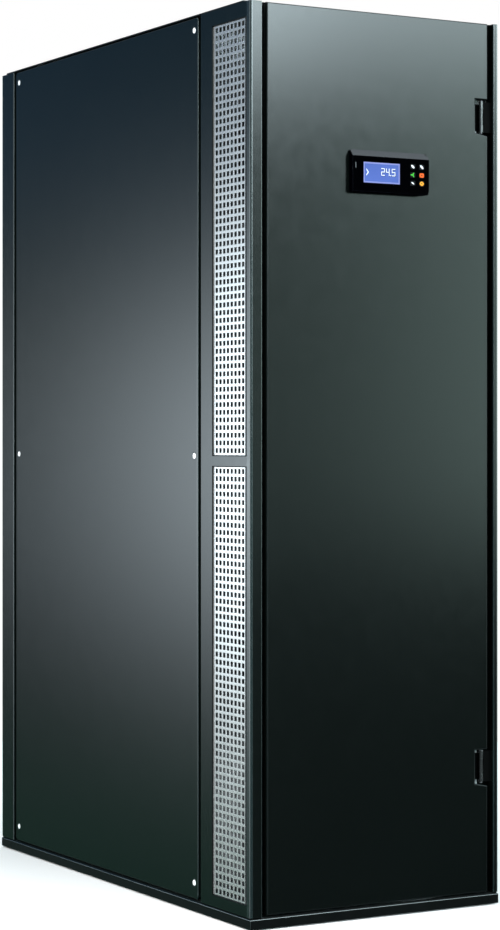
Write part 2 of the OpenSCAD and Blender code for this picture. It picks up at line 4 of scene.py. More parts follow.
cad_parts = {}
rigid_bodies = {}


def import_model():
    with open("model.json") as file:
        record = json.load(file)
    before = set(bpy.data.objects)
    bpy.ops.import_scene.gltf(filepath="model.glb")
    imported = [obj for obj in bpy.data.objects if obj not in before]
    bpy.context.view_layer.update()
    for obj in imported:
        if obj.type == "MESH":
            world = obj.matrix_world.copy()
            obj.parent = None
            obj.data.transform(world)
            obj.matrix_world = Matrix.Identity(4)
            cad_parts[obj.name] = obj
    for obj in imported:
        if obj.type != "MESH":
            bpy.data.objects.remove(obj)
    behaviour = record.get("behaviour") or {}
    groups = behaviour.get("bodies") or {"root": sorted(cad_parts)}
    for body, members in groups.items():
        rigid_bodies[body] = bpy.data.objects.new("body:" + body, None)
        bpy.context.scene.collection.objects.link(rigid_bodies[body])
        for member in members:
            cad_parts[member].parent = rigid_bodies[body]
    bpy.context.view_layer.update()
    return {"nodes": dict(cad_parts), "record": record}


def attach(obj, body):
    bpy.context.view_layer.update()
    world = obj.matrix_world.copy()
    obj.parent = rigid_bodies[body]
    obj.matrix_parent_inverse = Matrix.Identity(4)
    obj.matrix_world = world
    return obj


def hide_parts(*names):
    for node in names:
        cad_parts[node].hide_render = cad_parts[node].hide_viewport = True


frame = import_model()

MM = 0.001
NODES = frame["nodes"]
BODY = {}
for b, ns in frame["record"]["behaviour"]["bodies"].items():
    for n in ns:
        BODY[n] = b
SLOT = {s["node"]: s["material_slot"] for s in frame["record"]["subparts"]}

# ------------------------------------------------------------------ materials
MATS = {}


class Tree:
    def __init__(self, name):
        self.mat = bpy.data.materials.new(name)
        self.mat.use_nodes = True
        self.nt = self.mat.node_tree
        self.nt.nodes.clear()
        self.out = self.nt.nodes.new("ShaderNodeOutputMaterial")
        self.bsdf = self.nt.nodes.new("ShaderNodeBsdfPrincipled")
        self.nt.links.new(self.bsdf.outputs[0], self.out.inputs[0])
        self.co = self.nt.nodes.new("ShaderNodeTexCoord")

    def link(self, a, b):
        self.nt.links.new(a, b)

    def mapped(self, scale):
        m = self.nt.nodes.new("ShaderNodeMapping")
        m.inputs["Scale"].default_value = scale
        self.link(self.co.outputs["Object"], m.inputs[0])
        return m.outputs[0]

    def noise(self, scale, detail=3.0, rough=0.5, stretch=None):
        n = self.nt.nodes.new("ShaderNodeTexNoise")
        n.inputs["Scale"].default_value = scale
        n.inputs["Detail"].default_value = detail
        n.inputs["Roughness"].default_value = rough
        self.link(self.mapped(stretch) if stretch else self.co.outputs["Object"], n.inputs["Vector"])
        return n.outputs[0]

    def remap(self, src, a, b, lo, hi):
        m = self.nt.nodes.new("ShaderNodeMapRange")
        m.inputs[1].default_value, m.inputs[2].default_value = a, b
        m.inputs[3].default_value, m.inputs[4].default_value = lo, hi
        self.link(src, m.inputs[0])
        return m.outputs[0]

    def mix(self, fac, c1, c2):
        m = self.nt.nodes.new("ShaderNodeMix")
        m.data_type = "RGBA"
        self.link(fac, m.inputs[0])
        for sock, c in ((m.inputs[6], c1), (m.inputs[7], c2)):
            if isinstance(c, tuple):
                sock.default_value = (*c, 1.0)
            else:
                self.link(c, sock)
        return m.outputs[2]

    def bump(self, src, strength, dist, normal=None):
        b = self.nt.nodes.new("ShaderNodeBump")
        b.inputs["Strength"].default_value = strength
        b.inputs["Distance"].default_value = dist
        self.link(src, b.inputs["Height"])
        if normal:
            self.link(normal, b.inputs["Normal"])
        return b.outputs[0]


def tint(c, k):
    return tuple(min(1.0, v * k) for v in c)


def surface(name, color, rough, metal=0.0, spec=0.5, peel=0.0, peel_mm=2.0, grain=0.0, grain_mm=0.4,
            rvar=0.05, cvar=0.10, stretch=None, coat=0.0, coat_rough=0.08, dust=0.0, glow=None, glow_w=0.0,
            sheen=0.0, trans=0.0, ior=1.5):
    t = Tree(name)
    b = t.bsdf
    broad = t.noise(3.1, 4.0, 0.55)
    smear = t.noise(38.0, 5.0, 0.6, stretch)
    col = t.mix(t.remap(broad, 0.35, 0.65, 0.0, 1.0), tint(color, 1.0 - cvar), tint(color, 1.0 + cvar))
    if dust > 0:
        geo = t.nt.nodes.new("ShaderNodeNewGeometry")
        sep = t.nt.nodes.new("ShaderNodeSeparateXYZ")
        t.link(geo.outputs["Normal"], sep.inputs[0])
        up = t.remap(sep.outputs[2], 0.6, 1.0, 0.0, dust)
        mul = t.nt.nodes.new("ShaderNodeMath")
        mul.operation = "MULTIPLY"
        t.link(up, mul.inputs[0])
        t.link(t.remap(smear, 0.35, 0.7, 0.3, 1.0), mul.inputs[1])
        col = t.mix(mul.outputs[0], col, (0.30, 0.29, 0.27))
    t.link(col, b.inputs["Base Color"])
    rr = t.remap(smear, 0.3, 0.7, max(0.02, rough - rvar), min(1.0, rough + rvar))
    t.link(rr, b.inputs["Roughness"])
    b.inputs["Metallic"].default_value = metal
    b.inputs["Specular IOR Level"].default_value = spec
    b.inputs["IOR"].default_value = ior
    nrm = None
    if peel > 0:
        nrm = t.bump(t.noise(1000.0 / peel_mm, 1.5, 0.4), peel, 0.00012)
    if grain > 0:
        nrm = t.bump(t.noise(1000.0 / grain_mm, 2.0, 0.5, stretch), grain, 0.00006, nrm)
    if nrm:
        t.link(nrm, b.inputs["Normal"])
    b.inputs["Coat Weight"].default_value = coat
    b.inputs["Coat Roughness"].default_value = coat_rough
    b.inputs["Sheen Weight"].default_value = sheen
    b.inputs["Transmission Weight"].default_value = trans
    if glow:
        b.inputs["Emission Color"].default_value = (*glow, 1.0)
        b.inputs["Emission Strength"].default_value = glow_w
    MATS[name] = t.mat
    return t.mat


surface("case_coat", (0.0012, 0.0019, 0.0017), 0.13, peel=0.05, peel_mm=2.6, grain=0.03, rvar=0.012, cvar=0.06, dust=0.0)
surface("roof_coat", (0.0035, 0.0045, 0.0045), 0.55, ior=1.15, spec=0.06, peel=0.3, peel_mm=2.2, rvar=0.05, cvar=0.10, dust=0.01)
# painted highlight: a lighter, glossier copy of the case paint for the rounded bends and panel rims
surface("bend_painted_highlight", (0.0034, 0.0078, 0.0080), 0.22, spec=1.0, peel=0.05, peel_mm=2.6, rvar=0.02, cvar=0.06)
# painted highlight: a lighter, glossier copy of the case paint for the strip of side face beside the front corner
surface("lip_painted_highlight", (0.0030, 0.0050, 0.0050), 0.20, spec=0.8, coat=0.25, coat_rough=0.16, peel=0.05, peel_mm=2.6, rvar=0.02, cvar=0.06)
# painted shade: a duller copy of the case paint for the door's rounded rim, so the rim reads darker
surface("edge_painted_shade", (0.0020, 0.0032, 0.0032), 0.30, spec=0.25, peel=0.05, peel_mm=2.6, rvar=0.02)
# painted highlight: a lighter, glossier copy of the paint for rounded edges
surface("edge_painted_highlight", (0.0034, 0.0060, 0.0062), 0.16, spec=1.0, coat=1.0, coat_rough=0.12, peel=0.05, peel_mm=2.6, rvar=0.02)
# painted highlight: a lighter, glossier copy of the black hinge finish for the curved barrel faces
surface("barrel_painted_highlight", (0.012, 0.013, 0.013), 0.26, spec=1.0, coat=0.5, grain=0.3, grain_mm=0.8, rvar=0.06)
surface("pin_steel", (0.10, 0.10, 0.105), 0.40, metal=0.6, grain=0.3, grain_mm=0.5, rvar=0.06)
# painted highlight: a lighter copy of the black bezel for its upward faces and rounded edges
surface("bezel_painted_highlight", (0.0055, 0.0060, 0.0100), 0.24, spec=0.38, peel=0.06, peel_mm=4.0, rvar=0.03)
surface("key_mask", (0.0008, 0.0008, 0.0012), 0.34, ior=1.15, grain=0.3, grain_mm=0.6, rvar=0.05)
surface("ink_dim", (0.10, 0.105, 0.11), 0.40, grain=0.2, grain_mm=0.5)
# painted shade: a matt dark colour for folds, screw cups, rims and gaps that should read as shadow
surface("fold_painted_shade", (0.0030, 0.0036, 0.0038), 0.55, spec=0.3, grain=0.3, grain_mm=0.8, rvar=0.05)
surface("base_coat", (0.0009, 0.0013, 0.0013), 0.30, ior=1.20, peel=0.08, peel_mm=2.2, grain=0.05, rvar=0.03, cvar=0.10, dust=0.02)
surface("grille_white", (0.62, 0.625, 0.625), 0.17, metal=0.88, peel=0.12, peel_mm=1.6, rvar=0.04, cvar=0.03)
# painted shade: dark colour for the walls of the grille holes
surface("grille_hole_painted_shade", (0.010, 0.011, 0.012), 0.5, spec=0.3, grain=0.3, grain_mm=0.6, rvar=0.05)
surface("crossbar_coat", (0.23, 0.26, 0.27), 0.38, peel=0.3, peel_mm=2.0, rvar=0.05)
surface("galvanised", (0.50, 0.52, 0.53), 0.42, metal=0.9, grain=0.25, grain_mm=3.0, rvar=0.14, cvar=0.16, dust=0.08)
surface("zinc", (0.90, 0.91, 0.92), 0.34, metal=0.5, grain=0.2, grain_mm=0.6, rvar=0.07, cvar=0.05)
surface("hinge_black", (0.0009, 0.0010, 0.0010), 0.45, ior=1.18, spec=0.12, peel=0.3, peel_mm=1.4, rvar=0.08)
surface("bezel", (0.00008, 0.00008, 0.0003), 0.10, ior=1.12, spec=0.06, peel=0.06, peel_mm=4.0, rvar=0.03, cvar=0.06)
surface("key_white", (0.16, 0.165, 0.18), 0.30, grain=0.2, grain_mm=0.5, glow=(0.75, 0.80, 0.90), glow_w=1.0)
surface("key_green", (0.012, 0.10, 0.006), 0.30, spec=0.1, grain=0.2, grain_mm=0.5, glow=(0.05, 0.55, 0.04), glow_w=1.0)
surface("key_red", (0.10, 0.012, 0.001), 0.30, spec=0.1, grain=0.2, grain_mm=0.5, glow=(0.85, 0.13, 0.005), glow_w=1.0)
surface("key_amber", (0.15, 0.06, 0.004), 0.30, spec=0.1, grain=0.2, grain_mm=0.5, glow=(0.90, 0.42, 0.03), glow_w=1.0)
surface("seal", (0.016, 0.016, 0.017), 0.75, grain=0.6, grain_mm=1.2, rvar=0.10, cvar=0.2)
surface("fan_plastic", (0.028, 0.031, 0.034), 0.42, grain=0.35, grain_mm=0.8, rvar=0.08, cvar=0.12, dust=0.25)
surface("motor", (0.020, 0.020, 0.022), 0.45, peel=0.5, peel_mm=1.2, rvar=0.08, cvar=0.2)
surface("guard_wire", (0.62, 0.64, 0.65), 0.28, metal=1.0, grain=0.2, grain_mm=0.5, rvar=0.08)
surface("fin_alloy", (0.72, 0.74, 0.75), 0.34, metal=1.0, grain=0.3, grain_mm=0.7, rvar=0.10, stretch=(1, 1, 0.05))
surface("copper", (0.80, 0.41, 0.25), 0.26, metal=1.0, grain=0.2, grain_mm=0.6, rvar=0.12, cvar=0.14, stretch=(1, 1, 0.1))
surface("valve_brass", (0.72, 0.55, 0.27), 0.30, metal=1.0, grain=0.3, grain_mm=0.5, rvar=0.10, cvar=0.08)
surface("tray_steel", (0.60, 0.61, 0.62), 0.30, metal=1.0, grain=0.3, grain_mm=0.5, rvar=0.10, stretch=(0.05, 1, 1))
surface("pump_plastic", (0.035, 0.045, 0.055), 0.40, grain=0.35, grain_mm=0.7, rvar=0.08)
surface("riser_plastic", (0.78, 0.79, 0.77), 0.32, grain=0.1, grain_mm=0.8, rvar=0.06)
surface("box_grey", (0.34, 0.36, 0.37), 0.40, peel=0.4, peel_mm=1.8, rvar=0.06, cvar=0.05)
surface("breaker_plastic", (0.72, 0.72, 0.70), 0.42, grain=0.25, grain_mm=0.5, rvar=0.06, cvar=0.03)
surface("board_green", (0.015, 0.14, 0.055), 0.30, grain=0.3, grain_mm=1.5, rvar=0.10, cvar=0.25)
surface("switch_plastic", (0.022, 0.022, 0.025), 0.40, grain=0.3, grain_mm=0.6, rvar=0.06)
surface("knob_red", (0.55, 0.012, 0.018), 0.24, grain=0.15, grain_mm=0.8, rvar=0.06)
surface("gland_nylon", (0.014, 0.014, 0.016), 0.42, grain=0.3, grain_mm=0.6, rvar=0.08)
surface("magnet", (0.018, 0.018, 0.019), 0.5, grain=0.3, grain_mm=0.8, rvar=0.08)
surface("filter_steel", (0.62, 0.64, 0.65), 0.36, metal=0.95, grain=0.25, grain_mm=1.4, rvar=0.12)
surface("filter_paper", (0.76, 0.77, 0.74), 0.85, grain=0.8, grain_mm=1.6, rvar=0.08, cvar=0.06, sheen=0.15)
surface("latch_black", (0.010, 0.010, 0.012), 0.22, peel=0.2, peel_mm=1.5, rvar=0.06)
surface("foot_steel", (0.48, 0.49, 0.50), 0.34, metal=1.0, grain=0.3, grain_mm=0.7, rvar=0.10)
surface("ink", (0.22, 0.23, 0.25), 0.35, grain=0.1, grain_mm=0.6, glow=(0.55, 0.60, 0.75), glow_w=1.0)
surface("ink_shadow", (0.003, 0.006, 0.03), 0.5, ior=1.3, grain=0.1, grain_mm=0.6, glow=(0.004, 0.012, 0.07), glow_w=1.0)
surface("screen_rim", (0.030, 0.035, 0.10), 0.30, ior=1.3, grain=0.1, grain_mm=0.8, glow=(0.20, 0.235, 0.54), glow_w=1.0)
surface("key_dark", (0.02, 0.008, 0.002), 0.4, ior=1.3, grain=0.2, grain_mm=0.6)
surface("pcb_chip", (0.012, 0.012, 0.013), 0.35, grain=0.3, grain_mm=0.6)
surface("pcb_white", (0.75, 0.75, 0.72), 0.45, grain=0.2, grain_mm=0.6)


def screen_mat():
    """Back-lit liquid crystal: fine rows of dots over an uneven blue glow."""
    t = Tree("screen")
    b = t.bsdf
    n = t.noise(14.0, 2.0, 0.4)
    col = t.mix(t.remap(n, 0.35, 0.65, 0.0, 1.0), (0.010, 0.021, 0.078), (0.014, 0.028, 0.100))
    lit = t.mix(t.remap(n, 0.35, 0.65, 0.0, 1.0), (0.068, 0.115, 0.38), (0.090, 0.145, 0.46))
    w = t.nt.nodes.new("ShaderNodeTexWave")
    w.inputs["Scale"].default_value = 260.0
    w.bands_direction = "Z"
    t.link(t.co.outputs["Object"], w.inputs["Vector"])
    lit2 = t.mix(t.remap(w.outputs[1], 0.0, 1.0, 0.0, 0.35), lit, (0.055, 0.095, 0.33))
    t.link(col, b.inputs["Base Color"])
    t.link(lit2, b.inputs["Emission Color"])
    b.inputs["Emission Strength"].default_value = 1.0
    b.inputs["Specular IOR Level"].default_value = 0.15
    t.link(t.remap(n, 0.3, 0.7, 0.10, 0.16), b.inputs["Roughness"])
    MATS["screen"] = t.mat


screen_mat()

# ------------------------------------------------------------------ geometry helpers
COL = bpy.context.scene.collection


def finish_mesh(name, bm, slot, body, node=None, bevel=0.0, segs=2, sharp=32.0, recalc=True, limit=38.0, wn=True):
    if recalc:
        bmesh.ops.recalc_face_normals(bm, faces=bm.faces)
    for f in bm.faces:
        f.smooth = True
    lim = math.radians(sharp)
    for e in bm.edges:
        e.smooth = not (len(e.link_faces) == 2 and e.calc_face_angle(0.0) > lim)
    me = bpy.data.meshes.new(name)
    bm.to_mesh(me)
    bm.free()
    o = bpy.data.objects.new(name, me)
    COL.objects.link(o)
    me.materials.append(MATS[slot])
    if bevel > 0:
        m = o.modifiers.new("bevel", "BEVEL")
        m.width = bevel * MM
        m.segments = segs
        m.limit_method = "ANGLE"
        m.angle_limit = math.radians(limit)
        m.use_clamp_overlap = True
        m.harden_normals = False
        m.miter_outer = "MITER_ARC" if segs > 1 else "MITER_SHARP"
    if wn:
        w = o.modifiers.new("wn", "WEIGHTED_NORMAL")
        w.keep_sharp = bevel <= 0
        w.weight = 80
    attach(o, body)
    return o


def adopt(node, bevel=0.4, segs=2, sharp=35.0, flat=0.4, edge=None, paint=None, paint_if=None, front=None):
    """The CAD piece with its flat faces merged, its edges rounded and its curved faces smooth."""
    src = NODES[node]
    bm = bmesh.new()
    bm.from_mesh(src.data)
    bm.transform(src.matrix_world)
    bmesh.ops.remove_doubles(bm, verts=bm.verts, dist=2e-6)
    bmesh.ops.dissolve_limit(bm, angle_limit=math.radians(flat), use_dissolve_boundaries=False,
                             verts=bm.verts, edges=bm.edges)
    if front:
        for v in bm.verts:
            v.co.y = max(v.co.y, front * MM)
    if paint:
        bm.normal_update()
        for f in bm.faces:
            if paint_if(f.normal):
                f.material_index = 1
    o = finish_mesh(node + "_body", bm, SLOT[node], BODY[node], node, bevel, segs, sharp, recalc=False)
    for m in (paint, edge):
        if m:
            o.data.materials.append(MATS[m])
    if edge:
        o.modifiers["bevel"].material = len(o.data.materials) - 1
    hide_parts(node)
    return o


def area(poly):
    return 0.5 * sum(a[0] * b[1] - b[0] * a[1] for a, b in zip(poly, poly[1:] + poly[:1]))


def inset(poly, d):
    """Moves every edge of a counterclockwise polygon inwards by d."""
    out = []
    n = len(poly)
    for i in range(n):
        p, q, r = Vector(poly[i - 1]), Vector(poly[i]), Vector(poly[(i + 1) % n])
        a, b = (q - p).normalized(), (r - q).normalized()
        na, nb = Vector((-a.y, a.x)), Vector((-b.y, b.x))
        m = na + nb
        k = d / max(0.2, m.dot(na))
        out.append((q.x + m.x * k, q.y + m.y * k))
    return out


def arc(cx, cy, r, a0, a1, n):
    return [(cx + r * math.cos(math.radians(a0 + (a1 - a0) * i / n)),
             cy + r * math.sin(math.radians(a0 + (a1 - a0) * i / n))) for i in range(n + 1)]


def rounded_rect(x0, y0, x1, y1, r, n=8):
    return (arc(x1 - r, y0 + r, r, -90, 0, n) + arc(x1 - r, y1 - r, r, 0, 90, n)
            + arc(x0 + r, y1 - r, r, 90, 180, n) + arc(x0 + r, y0 + r, r, 180, 270, n))


def pan(name, slot, body, outline, place, depth, sheet, r, cups=(), slots=(), cup_r=7.0, cup_d=2.3, segs=5,
        node=None, edge="bend_painted_highlight", painted_shade_if=None):
    """A folded sheet pan, closed: rounded front edge of radius r, sides depth deep, thickness sheet.
    outline is counterclockwise in face coordinates (u, v); place(u, v, w) gives the point w behind the face."""
    bm = bmesh.new()

    def ring(pts, w):
        return [bm.verts.new(Vector(place(u, v, w)) * MM) for u, v in pts]

    def skin(a, b, mat=0):
        n = len(a)
        for i in range(n):
            bm.faces.new((a[i], a[(i + 1) % n], b[(i + 1) % n], b[i])).material_index = mat

    def fill(loops):
        es = []
        for vs in loops:
            n = len(vs)
            for i in range(n):
                e = bm.edges.get((vs[i], vs[(i + 1) % n])) or bm.edges.new((vs[i], vs[(i + 1) % n]))
                es.append(e)
        bmesh.ops.triangle_fill(bm, use_beauty=True, use_dissolve=False, edges=es)

    rings = []
    for k in range(segs + 1):
        a = math.pi / 2 * k / segs
        rings.append(ring(inset(outline, r * (1 - math.sin(a))), r * (1 - math.cos(a))))
    rings.append(ring(outline, depth))
    rings.append(ring(inset(outline, sheet), depth))
    inner = ring(inset(outline, sheet), sheet)
    rings.append(inner)
    # the rounded front edge takes the edge material: a painted highlight copy of the paint by default, a painted shade
    # copy on the front door
    for k, (a, b) in enumerate(zip(rings, rings[1:])):
        skin(a, b, 1 if k < segs else 0)
    front = [rings[0]]
    back = [inner]
    for cu, cv in cups:
        top = ring(arc(cu, cv, cup_r + 0.6, 0, 360, 28)[:-1], 0)
        lip = ring(arc(cu, cv, cup_r + 0.15, 0, 360, 28)[:-1], 0.18)
        wall = ring(arc(cu, cv, cup_r, 0, 360, 28)[:-1], 0.7)
        low = ring(arc(cu, cv, cup_r, 0, 360, 28)[:-1], cup_d)
        skin(top, lip)
        # painted shade: the cup walls and floor take the dark colour
        skin(lip, wall, 2)
        skin(wall, low, 2)
        bm.faces.new(low).material_index = 2
        front.append(top)
    for x0, y0, x1, y1 in slots:
        rr = min(x1 - x0, y1 - y0) * 0.12
        shape = rounded_rect(x0, y0, x1, y1, rr, 2)
        grown = rounded_rect(x0 - 0.35, y0 - 0.35, x1 + 0.35, y1 + 0.35, rr + 0.35, 2)
        top = ring(grown, 0)
        lip = ring(shape, 0.35)
        low = ring(shape, sheet)
        skin(top, lip)
        skin(lip, low)
        front.append(top)
        back.append(low)
    if len(front) > 1:
        fill(front)
    else:
        bm.faces.new(rings[0])
    if len(back) > 1:
        fill(back)
    else:
        bm.faces.new(inner)
    o = finish_mesh(name, bm, slot, body, node)
    o.data.materials.append(MATS[edge])
    # index 2 is the painted shade, for the screw cups and the rim faces picked out below
    o.data.materials.append(MATS["fold_painted_shade"])
    o.modifiers["wn"].keep_sharp = True
    # rim faces picked by this test take the painted shade in place of the edge material
    for f in o.data.polygons:
        if painted_shade_if and f.material_index == 1 and painted_shade_if(f.center):
            f.material_index = 2
    return o


def sheet_from_grid(name, slot, body, cols, zs, keep, node=None, bevel=0.0, segs=2, painted_highlight_index=None):
    """Closed sheet: cols is a list of (outer point, inner point) in plan, zs the heights, keep(i, j) which cells stay."""
    bm = bmesh.new()
    outer = [[bm.verts.new(Vector((a[0], a[1], z)) * MM) for z in zs] for a, b in cols]
    inner = [[bm.verts.new(Vector((b[0], b[1], z)) * MM) for z in zs] for a, b in cols]
    count = {}
    for i in range(len(cols) - 1):
        for j in range(len(zs) - 1):
            if not keep(i, j):
                continue
            q = [(i, j), (i + 1, j), (i + 1, j + 1), (i, j + 1)]
            f = bm.faces.new([outer[a][b] for a, b in q])
            if painted_highlight_index:
                f.material_index = painted_highlight_index(i)
            bm.faces.new([inner[a][b] for a, b in reversed(q)])
            for p, s in zip(q, q[1:] + q[:1]):
                count.setdefault(frozenset((p, s)), []).append((p, s))
    for uses in count.values():
        if len(uses) == 1:
            (a, b), (c, d) = uses[0]
            bm.faces.new((outer[c][d], outer[a][b], inner[a][b], inner[c][d]))
    bmesh.ops.delete(bm, geom=[v for v in bm.verts if not v.link_faces], context="VERTS")
    o = finish_mesh(name, bm, slot, body, node, bevel, segs)
    # index 1 is the painted highlight of the bends, index 2 that of the lip strip
    if painted_highlight_index:
        o.data.materials.append(MATS["bend_painted_highlight"])
        o.data.materials.append(MATS["lip_painted_highlight"])
    return o


def bend_path(pts):
    """pts: (x, y, radius, steps). Returns the path with its corners rounded."""
    out = []
    n = len(pts)
    for i, (x, y, r, k) in enumerate(pts):
        if r <= 0 or i in (0, n - 1):
            out.append((x, y))
            continue
        p, q, s = Vector(pts[i - 1][:2]), Vector((x, y)), Vector(pts[i + 1][:2])
        a, b = (q - p).normalized(), (s - q).normalized()
        half = math.acos(max(-1, min(1, a.dot(b)))) / 2
        t = r * math.tan(half)
        side = 1 if a.x * b.y - a.y * b.x > 0 else -1
        c = q - a * t + Vector((-a.y, a.x)) * side * r
        v0 = (q - a * t) - c
        for m in range(k + 1):
            ang = side * 2 * half * m / k
            w = Vector((v0.x * math.cos(ang) - v0.y * math.sin(ang), v0.x * math.sin(ang) + v0.y * math.cos(ang)))
            out.append((c.x + w.x, c.y + w.y))
    return out


def offset_path(pts, d):
    """The path moved to its right by d."""
    out = []
    n = len(pts)
    for i in range(n):
        q = Vector(pts[i])
        a = (q - Vector(pts[i - 1])).normalized() if i else (Vector(pts[1]) - q).normalized()
        b = (Vector(pts[i + 1]) - q).normalized() if i < n - 1 else a
        na, nb = Vector((a.y, -a.x)), Vector((b.y, -b.x))
        m = na + nb
        k = d / max(0.2, m.dot(na))
        out.append((q.x + m.x * k, q.y + m.y * k))
    return out


# ------------------------------------------------------------------ cabinet shell
HW, HD = 300.0, 600.0
T = 2.0


def corner_sheet(node, length, strip, sx, sy, holes=False):
    """Folded corner of the cabinet, written at the outer corner with x inwards and y away from the door."""
    pts = [(87, 28, 0, 1), (strip, 28, 1.2, 3), (strip, 0, 2.0, 5), (0, 0, 5.0, 12)]
    if holes:
        pts += [(0, 15, 0, 1), (0, 157, 0, 1)]
    pts += [(0, length, 2.0, 5), (20, length, 1.2, 3), (20, length - 2 + 46, 0, 1)]
    path = bend_path(pts)
    inner = offset_path(path, T)
    cols = [((sx * (HW - a[0]), sy * (HD - a[1])), (sx * (HW - b[0]), sy * (HD - b[1]))) for a, b in zip(path, inner)]
    zs = [26.0, 49.0, 922.0, 942.0, 1817.0, 1847.0] if holes else [26.0, 937.0, 1847.0]

    def keep(i, j):
        if not holes:
            return True
        a, b = path[i], path[i + 1]
        side = abs(a[0]) < 0.01 and abs(b[0]) < 0.01 and a[1] > 14.9 and b[1] < 157.1
        return not (side and j in (1, 3))
    # index of the painted highlight: 1 on the outer bends, 2 on the strip of side face beside the front corner, 0
    # elsewhere
    def painted_highlight_index(i):
        (ax, ay), (bx, by) = path[i], path[i + 1]
        if abs(ax) < 0.01 and abs(bx) < 0.01 and by < 15.1:
            return 2
        return int(abs(ax - bx) > 1e-6 and abs(ay - by) > 1e-6 and min(ax, ay) < 8)
    o = sheet_from_grid(node + "_sheet", SLOT[node], BODY[node], cols, zs, keep, node, bevel=0.45, painted_highlight_index=painted_highlight_index)
    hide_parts(node)
    if holes:
        # folded edges of the two openings, coloured as painted shade
        for name, z0, z1 in (("lower", 49.0, 922.0), ("upper", 942.0, 1817.0)):
            hoop(node + "_%s_fold" % name, SLOT[node], BODY[node],
                 [(-585.0, z0), (-443.0, z0), (-443.0, z1), (-585.0, z1)], 1.5,
                 lambda u, v, w: (sx * (HW - w), u, v), 1.7, 2.95, node)
            # painted shadow: dark strips along the folded edge, in front of the sheet, standing in for the shadow gap
            # between fold and sheet
            bars = [(-585.0, z0, -574.5, z1), (-574.5, z0, -443.0, z0 + 2.2), (-574.5, z1 - 2.2, -443.0, z1)]
            bm = bmesh.new()
            for y0, a0, y1, a1 in bars:
                vs = bmesh.ops.create_cube(bm, size=1.0)["verts"]
                for v in vs:
                    v.co = Vector((sx * (HW - 2.6) + v.co.x * 0.6, (y0 + y1) / 2 + v.co.y * (y1 - y0), (a0 + a1) / 2 + v.co.z * (a1 - a0))) * MM
            o2 = finish_mesh(node + "_%s_painted_shadow_strip" % name, bm, SLOT[node], BODY[node], node)
            o2.data.materials[0] = MATS["fold_painted_shade"]
    return o


def hoop(name, slot, body, outline, wall, place, w0, w1, node):
    """A closed ring round an outline, wall thick outside it, from depth w0 to w1."""
    bm = bmesh.new()
    loops = []
    for d, w in ((0, w0), (0, w1), (-wall, w1), (-wall, w0)):
        loops.append([bm.verts.new(Vector(place(u, v, w)) * MM) for u, v in inset(outline, d)])
    n = len(outline)
    for k in range(4):
        a, b = loops[k], loops[(k + 1) % 4]
        for i in range(n):
            bm.faces.new((a[i], a[(i + 1) % n], b[(i + 1) % n], b[i]))
    o = finish_mesh(name, bm, slot, body, node)
    # the fold takes the painted shade colour
    o.data.materials[0] = MATS["fold_painted_shade"]
    return o


corner_sheet("outlet_frame_left", 206, 27, -1, -1, holes=True)
corner_sheet("outlet_frame_right", 206, 13, 1, -1, holes=True)
corner_sheet("rear_post_left", 69, 13, -1, 1)
corner_sheet("rear_post_right", 69, 27, 1, 1)


def grille(node, sx):
    """Perforated sheet with square holes, two fields of eight columns."""
    pitch, hole, ncol = 15.5, 9.5, 8
    yc = -HD + (15 + 157) / 2 + 3
    ys = [-HD + 9.0]
    for c in range(ncol):
        m = yc + (c - (ncol - 1) / 2) * pitch
        ys += [m - hole / 2, m + hole / 2]
    ys.append(-HD + 166.0)
    zs = [39.0]
    rows = set()
    for z0, z1 in ((49.0, 922.0), (942.0, 1817.0)):
        n = int((z1 - z0 - 3) // pitch)
        first = (z0 + z1) / 2 - (n - 1) / 2 * pitch
        for k in range(n):
            rows.add(len(zs))
            zs += [first + k * pitch - hole / 2, first + k * pitch + hole / 2]
    zs.append(1827.0)
    xo, xi = sx * (HW - 3.0), sx * (HW - 4.2)
    cols = [((xo, y), (xi, y)) for y in ys]

    def keep(i, j):
        return not (i % 2 == 1 and 1 <= i < len(ys) - 1 and j in rows)
    # rows holds the index of a hole's lower edge, which is also the cell's
    o = sheet_from_grid(node + "_sheet", SLOT[node], BODY[node], cols, zs, keep, node, bevel=0.35, segs=2)
    # painted shade: the hole walls and punched edges take a dark colour standing in for shadow in the holes
    o.data.materials.append(MATS["grille_hole_painted_shade"])
    for f in o.data.polygons:
        if abs(f.normal.x) < 0.5:
            f.material_index = 1
    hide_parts(node)
    return o


grille("outlet_grille_left", -1)
grille("outlet_grille_right", 1)

PY0, PY1, PZ0, PZ1 = -383.0, 518.0, 29.0, 1844.0


def side(node, sx):
    out = rounded_rect(PY0, PZ0, PY1, PZ1, 8.0, 10)
    cups = [(y, z) for y in (PY0 + 17, PY1 - 17) for z in (62, 942, 1819)]
    # the side panel's rounded rim is painted shade everywhere but along its front edge, which keeps the painted
    # highlight
    o = pan(node + "_sheet", SLOT[node], BODY[node], out, lambda u, v, w: (sx * (HW - w), u, v), 16.0, 3.0, 1.6,
            cups=cups, node=node, painted_shade_if=lambda c: c.y > -0.370)
    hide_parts(node)


side("side_panel_left", -1)
side("side_panel_right", 1)

DX0, DX1, DZ0, DZ1 = -262.0, 272.0, 29.0, 1846.0


def door_outline():
    pts = [(DX0, DZ0), (DX1, DZ0)]
    for z in (253.0, 1613.0):
        pts += [(DX1, z - 2), (241.0, z + 4), (241.0, z + 74), (DX1, z + 74)]
    return pts + [(DX1, DZ1), (DX0, DZ1)]


